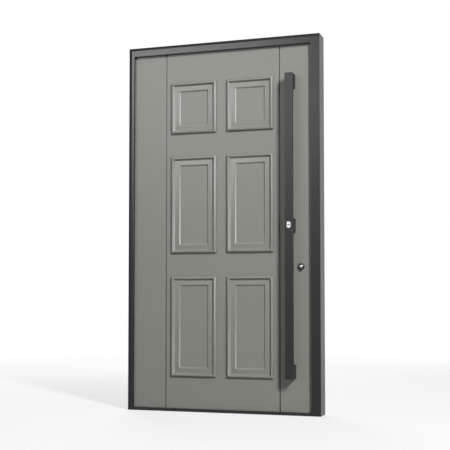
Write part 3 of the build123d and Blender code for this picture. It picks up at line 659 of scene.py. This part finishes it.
def point_mesh(name, points, edges=()):
    """A mesh of loose points or lines for a node group to work on."""
    mesh = bpy.data.meshes.new(name)
    mesh.from_pydata(points, edges, [])
    return mesh


def islands(node):
    """Lowest and highest corners of each separate solid in a CAD node."""
    shape = bmesh.new()
    shape.from_mesh(frame["nodes"][node].data)
    bmesh.ops.remove_doubles(shape, verts=shape.verts, dist=1e-6)
    found, seen = [], set()
    for start in shape.verts:
        if start in seen:
            continue
        group, queue = [], [start]
        seen.add(start)
        while queue:
            vertex = queue.pop()
            group.append(vertex.co.copy())
            for edge in vertex.link_edges:
                other = edge.other_vert(vertex)
                if other not in seen:
                    seen.add(other)
                    queue.append(other)
        low = Vector([min(p[i] for p in group) for i in range(3)])
        high = Vector([max(p[i] for p in group) for i in range(3)])
        found.append((low, high))
    shape.free()
    return found


def screw_set(name, node, body, head_axis, head_way, turn, group, material):
    """Detailed screws in the place of a CAD node of plain ones of one size.

    The heads look along head_axis, upwards along it where head_way is 1. Turn brings +Z to that way.
    """
    across = 1 if head_axis == 0 else 0
    points = []
    for low, high in islands(node):
        place = (low + high) / 2
        place[head_axis] = high[head_axis] if head_way > 0 else low[head_axis]
        points.append(place)
    length = (high - low)[head_axis]
    diameter = (high - low)[across]
    values = {
        "Head diameter": diameter, "Length": length, "Recess width": sizes().screw_recess,
        "Recess arm": sizes().screw_slot, "Recess depth": sizes().screw_recess_depth, "Turn": turn,
        "Material": material,
    }
    piece = grow(name, point_mesh(name, points), group, values)
    smooth(piece.data)
    settle(piece, body, "steel", node)


# Stage


def aim(thing, target):
    """Turn a lamp towards a point."""
    thing.rotation_euler = (Vector(target) - thing.location).to_track_quat("-Z", "Y").to_euler()


def softbox(name, place, target, width, height, watts):
    """A rectangular area lamp."""
    lamp = bpy.data.lights.new(name, "AREA")
    lamp.shape = "RECTANGLE"
    lamp.size = width
    lamp.size_y = height
    lamp.energy = watts
    thing = bpy.data.objects.new(name, lamp)
    bpy.context.scene.collection.objects.link(thing)
    thing.location = place
    thing.visible_camera = False
    aim(thing, target)
    return thing


def seen_directly(tree):
    """1 for rays that show the background: from the camera, in a reflection or through glass."""
    path = add(tree, "ShaderNodeLightPath").outputs
    shown = path["Is Camera Ray"]
    for ray in ("Is Glossy Ray", "Is Transmission Ray"):
        shown = add(tree, "ShaderNodeMath", {0: shown, 1: path[ray]}, operation="MAXIMUM").outputs[0]
    return shown


def white_world(ambient):
    """A world that lights the object softly and shows as white."""
    world = bpy.data.worlds.new("Studio")
    bpy.context.scene.world = world
    world.use_nodes = True
    tree = world.node_tree
    tree.nodes.clear()
    light, white = (
        add(tree, "ShaderNodeBackground", {"Color": WHITE, "Strength": strength}).outputs[0]
        for strength in (ambient, 1.0)
    )
    mix = add(tree, "ShaderNodeMixShader", {0: seen_directly(tree), 1: light, 2: white})
    add(tree, "ShaderNodeOutputWorld", {"Surface": mix.outputs[0]})


def studio_floor():
    """A pale floor that fades into the white background a few metres out."""
    radius = 9.0
    fade_start = 2.2
    fade_end = 6.5
    whitening = 0.6
    gap_below_door = 0.5 * MM
    mesh = bpy.data.meshes.new("studio_floor")
    shape = bmesh.new()
    bmesh.ops.create_circle(shape, cap_ends=True, segments=96, radius=radius)
    shape.transform(Matrix.Translation((0.0, 0.0, -gap_below_door)))
    shape.to_mesh(mesh)
    shape.free()
    floor = new_object("studio_floor", mesh)
    matt = {"Roughness": 0.9, "Specular IOR Level": 0.1}
    material, tree, shader = principled("pale painted floor", matt)
    shown = seen_directly(tree)
    place = object_space(tree)
    away = add(tree, "ShaderNodeVectorMath", {0: place}, operation="LENGTH").outputs["Value"]
    fade = add(tree, "ShaderNodeMapRange", {
        "Value": away, "From Min": fade_start, "From Max": fade_end,
    }, interpolation_type="SMOOTHSTEP").outputs[0]
    tones = {0: shown, 6: (*colours().floor_bounce, 1.0), 7: (*colours().floor, 1.0)}
    tone = add(tree, "ShaderNodeMix", tones, data_type="RGBA").outputs[2]
    tree.links.new(tone, shader.inputs["Base Color"])
    white = add(tree, "ShaderNodeEmission", {"Color": WHITE, "Strength": 1.0})
    glow = add(tree, "ShaderNodeMath", {0: shown, 1: whitening}, operation="MULTIPLY")
    lit = add(tree, "ShaderNodeMixShader", {0: glow, 1: shader.outputs[0], 2: white.outputs[0]})
    clear = add(tree, "ShaderNodeBsdfTransparent")
    mix = add(tree, "ShaderNodeMixShader", {0: fade, 1: lit.outputs[0], 2: clear.outputs[0]})
    output = next(n for n in tree.nodes if n.type == "OUTPUT_MATERIAL")
    tree.links.new(mix.outputs[0], output.inputs["Surface"])
    floor.data.materials.append(material)


def photo_camera():
    """Camera at the photograph's viewing angle: low, to the right of the door, looking a little up."""
    focal_pixels = 985.0
    image_pixels = 450.0
    sensor = 36.0
    lens = bpy.data.cameras.new("Photo camera")
    lens.sensor_width = sensor
    lens.lens = focal_pixels / image_pixels * sensor
    lens.shift_y = 0.07
    camera = bpy.data.objects.new("Photo camera", lens)
    bpy.context.scene.collection.objects.link(camera)
    camera.location = (1.829, -5.561, 0.653)
    turned_left = math.radians(18.17)
    tilted_up = math.radians(2.61)
    camera.rotation_euler = (math.pi / 2 + tilted_up, 0.0, turned_left)
    bpy.context.scene.camera = camera


# Operators


class DOOR_OT_leaf(bpy.types.Operator):
    """Lacquer both faces of the leaf"""

    bl_idname = "door.leaf"
    bl_label = "Leaf"

    def execute(self, context):
        bottoms = groove_bottoms()
        if len(bottoms) != 2:
            raise RuntimeError(f"outer_panel has {len(bottoms)} grooves, not 2")
        faces = (("grooved", "outer_panel", bottoms), ("plain", "inner_panel", ()))
        for kind, panel, grooves in faces:
            name = f"satin lacquer on {kind} board"
            lacquer = sprayed_lacquer(name, colours().leaf, roughness=0.45, gloss=0.25, grooves=grooves)
            dress(lacquer, panel)
        return {"FINISHED"}


class DOOR_OT_mouldings(bpy.types.Operator):
    """Build the six mitred mouldings with softened edges"""

    bl_idname = "door.mouldings"
    bl_label = "Mouldings"

    def execute(self, context):
        name = "satin lacquer on timber moulding"
        lacquer = sprayed_lacquer(name, colours().leaf, roughness=0.38, gloss=0.3)
        for place in moulding_places:
            node = f"moulding_{place}"
            piece = mitred_moulding(f"mitred_{node}", node)
            piece.data.materials.append(lacquer)
            settle(piece, "leaf", "leaf_paint", node)
        return {"FINISHED"}


class DOOR_OT_frame(bpy.types.Operator):
    """Paint the frame and finish the threshold"""

    bl_idname = "door.frame"
    bl_label = "Frame"

    def execute(self, context):
        paint = sprayed_lacquer("grey-brown satin paint", colours().frame, roughness=0.33, gloss=0.28)
        dress(paint, "hinge_jamb", "lock_jamb", "head", "face_strips")
        coat = powder_coat("dark coated aluminium", colours().threshold, roughness=0.5, gloss=0.25)
        dress(coat, "threshold")
        return {"FINISHED"}


class DOOR_OT_core(bpy.types.Operator):
    """Finish the timber and foam inside the leaf"""

    bl_idname = "door.core"
    bl_label = "Core"

    def execute(self, context):
        lacquer_thickness = 0.2 * MM
        middle = (leaf_low.x + leaf_high.x) / 2
        half = (leaf_high.x - leaf_low.x) / 2 - lacquer_thickness
        edges = planed_timber("planed pine with lacquered edge", "Z", (middle, half))
        dress(edges, "hinge_stile", "lock_stile")
        dress(planed_timber("planed pine rail", "X"), "top_rail", "bottom_rail")
        dress(rigid_foam("rigid foam", colours().foam), "insulation_core")
        return {"FINISHED"}


class DOOR_OT_seals(bpy.types.Operator):
    """Finish the rubber seals and build the brush seal in the foot of the leaf"""

    bl_idname = "door.seals"
    bl_label = "Seals"

    def execute(self, context):
        rubber = extruded_rubber("extruded black rubber", colours().rubber)
        dress(rubber, "wall_seal_hinge_side", "wall_seal_head")
        dress(rubber, *[f"stop_gasket_{place}" for place in ("hinge_side", "lock_side", "head")])
        self.brush()
        return {"FINISHED"}

    def brush(self):
        """A channel of thin metal with rows of black tufts that reach to the threshold."""
        low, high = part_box("bottom_seal")
        wall = sizes().holder_wall
        channel_foot = leaf_low.z + wall
        rows = sizes().bristle_rows
        points, edges = [], []
        for row in range(rows):
            y = low.y + 2 * wall + (high.y - low.y - 4 * wall) * row / max(rows - 1, 1)
            points += [(low.x + 2 * wall, y, low.z), (high.x - 2 * wall, y, low.z)]
            edges.append((2 * row, 2 * row + 1))
        values = {
            "Spacing": sizes().bristle_spacing, "Width": sizes().bristle_width,
            "Height": high.z - low.z - wall,
            "Material": moulded_plastic("black nylon bristle", colours().plastic, roughness=0.6),
        }
        lines = point_mesh("tuft_lines", points, edges)
        tufts = grow("bottom_seal_bristles", lines, bristle_tree(), values)
        settle(tufts, "leaf", "black_seal", "bottom_seal")
        outer, inner = low.y, high.y
        section = [
            (outer, channel_foot), (outer, high.z), (inner, high.z), (inner, channel_foot),
            (inner - wall, channel_foot), (inner - wall, high.z - wall), (outer + wall, high.z - wall),
            (outer + wall, channel_foot),
        ]
        channel = extruded("bottom_seal_channel", section, low.x, high.x)
        aluminium = brushed_metal("mill aluminium", colours().zinc, roughness=0.4, grain_along="X")
        channel.data.materials.append(aluminium)
        settle(channel, "leaf", "steel")


class DOOR_OT_bar(bpy.types.Operator):
    """Coat the pull bar and finish the reader in it"""

    bl_idname = "door.bar"
    bl_label = "Pull bar and reader"

    def execute(self, context):
        coat = powder_coat("graphite powder coat", colours().bar, roughness=0.38, gloss=0.25)
        dress(coat, "pull_bar", "pull_bar_caps", *[f"standoff_{level}" for level in levels])
        dress(plated_metal("zinc-plated bolt", colours().zinc, roughness=0.35), "standoff_bolts")
        housing = moulded_plastic("black moulded housing", colours().plastic, roughness=0.45)
        dress(housing, "reader_housing")
        dress(plated_metal("bright chrome bezel", colours().chrome, roughness=0.14), "reader_bezel")
        dress(coated_glass("sensor glass", colours().sensor), "reader_sensor")
        return {"FINISHED"}


class DOOR_OT_lock(bpy.types.Operator):
    """Finish the lock, its furniture and its bolts"""

    bl_idname = "door.lock"
    bl_label = "Lock"

    def execute(self, context):
        black = powder_coat("black satin coat", colours().furniture, roughness=0.38, gloss=0.45)
        dress(black, "cylinder_rose_outside", "cylinder_rose_inside", "lever_rose")
        dress(black, "lever", "thumbturn")
        name = "brushed stainless plate"
        steel = brushed_metal(name, colours().steel, roughness=0.34, grain_along="Z")
        dress(steel, "lock_faceplate", "keep_plate")
        zinc = plated_metal("zinc-plated steel", colours().zinc, roughness=0.36)
        dress(zinc, "lock_case", "lever_spindle", "corner_screws")
        dress(plated_metal("bright nickel", colours().chrome, roughness=0.16), "cylinder_plug")
        dress(plated_metal("black nickel", colours().black_nickel, roughness=0.35), "cylinder_body")
        brass = brushed_metal("turned brass", colours().brass, roughness=0.3, grain_along="Y")
        dress(brass, "latch_bolt", "dead_bolt", "lock_follower")
        return {"FINISHED"}


class DOOR_OT_hinges(bpy.types.Operator):
    """Finish the hinges and add their turned caps"""

    bl_idname = "door.hinges"
    bl_label = "Hinges"

    def execute(self, context):
        name = "brushed stainless hinge"
        steel = brushed_metal(name, colours().steel, roughness=0.32, grain_along="Z")
        for level in levels:
            for body, way, end in (("leaf", 1, "top"), ("frame", -1, "foot")):
                half = f"hinge_{body}_half_{level}"
                dress(steel, half)
                cap = hinge_cap(f"hinge_cap_{level}_{end}", half, way)
                cap.data.materials.append(steel)
                settle(cap, body, "steel")
        dress(plated_metal("hardened steel", colours().zinc, roughness=0.25), "hinge_pins")
        bush = brushed_metal("turned brass bush", colours().brass, roughness=0.3, grain_along="Z")
        dress(bush, "hinge_bushes")
        return {"FINISHED"}


class DOOR_OT_screws(bpy.types.Operator):
    """Put cross-recessed screws in the hinges, the faceplate and the keep"""

    bl_idname = "door.screws"
    bl_label = "Screws"

    def execute(self, context):
        group = screw_tree()
        zinc = plated_metal("zinc-plated screw", colours().zinc, roughness=0.3)
        quarter = math.pi / 2
        inwards = (-quarter, 0.0, 0.0)
        screw_set("hinge_screws_leaf", "hinge_leaf_screws", "leaf", 1, 1, inwards, group, zinc)
        screw_set("hinge_screws_frame", "hinge_frame_screws", "frame", 1, 1, inwards, group, zinc)
        screw_set("faceplate_screws", "lock_screws", "leaf", 0, 1, (0.0, quarter, 0.0), group, zinc)
        screw_set("keep_plate_screws", "keep_screws", "frame", 0, -1, (0.0, -quarter, 0.0), group, zinc)
        return {"FINISHED"}


class DOOR_OT_stage(bpy.types.Operator):
    """Set the floor, the lamps, the world and the camera"""

    bl_idname = "door.stage"
    bl_label = "Stage"

    def execute(self, context):
        context.scene.view_settings.view_transform = "Standard"
        white_world(ambient=0.22)
        studio_floor()
        middle = (0.0, 0.0, 1.3)
        softbox("Key strip", (5.7, -6.1, 5.8), middle, width=1.0, height=1.9, watts=845.0)
        softbox("Back softbox", (-2.5, 4.0, 3.2), middle, width=2.5, height=2.5, watts=120.0)
        # These two show only in the sheen: the card on flat faces, and the sky on the beads.
        upper = (-0.3, 0.0, 1.8)
        card = softbox("Reflection card", (-2.3, -4.4, 3.1), upper, width=3.0, height=1.4, watts=190.0)
        sky = softbox("Sky strip", (6.0, -3.2, 3.1), middle, width=2.0, height=3.0, watts=950.0)
        sky.data.color = from_hex("EEF7FF")
        for lamp in (card, sky):
            lamp.visible_diffuse = False
        photo_camera()
        return {"FINISHED"}


STEPS = (
    DOOR_OT_leaf, DOOR_OT_mouldings, DOOR_OT_frame, DOOR_OT_core, DOOR_OT_seals, DOOR_OT_bar,
    DOOR_OT_lock, DOOR_OT_hinges, DOOR_OT_screws, DOOR_OT_stage,
)


class DOOR_PT_panel(bpy.types.Panel):
    """Sidebar panel that lists the door's pieces"""

    bl_idname = "DOOR_PT_panel"
    bl_label = "Panelled front door"
    bl_space_type = "VIEW_3D"
    bl_region_type = "UI"
    bl_category = TAB

    def draw(self, context):
        for step in STEPS:
            self.layout.operator(step.bl_idname)
        for group in (context.scene.door_colours, context.scene.door_sizes):
            box = self.layout.box()
            for name in group.__annotations__:
                box.prop(group, name)


CLASSES = (DoorColours, DoorSizes, *STEPS, DOOR_PT_panel)


def register():
    for item in CLASSES:
        bpy.utils.register_class(item)
    bpy.types.Scene.door_colours = PointerProperty(type=DoorColours)
    bpy.types.Scene.door_sizes = PointerProperty(type=DoorSizes)


def unregister():
    del bpy.types.Scene.door_sizes
    del bpy.types.Scene.door_colours
    for item in reversed(CLASSES):
        bpy.utils.unregister_class(item)


def main():
    register()
    for step in STEPS:
        family, name = step.bl_idname.split(".")
        getattr(getattr(bpy.ops, family), name)()


if __name__ == "__main__":
    main()
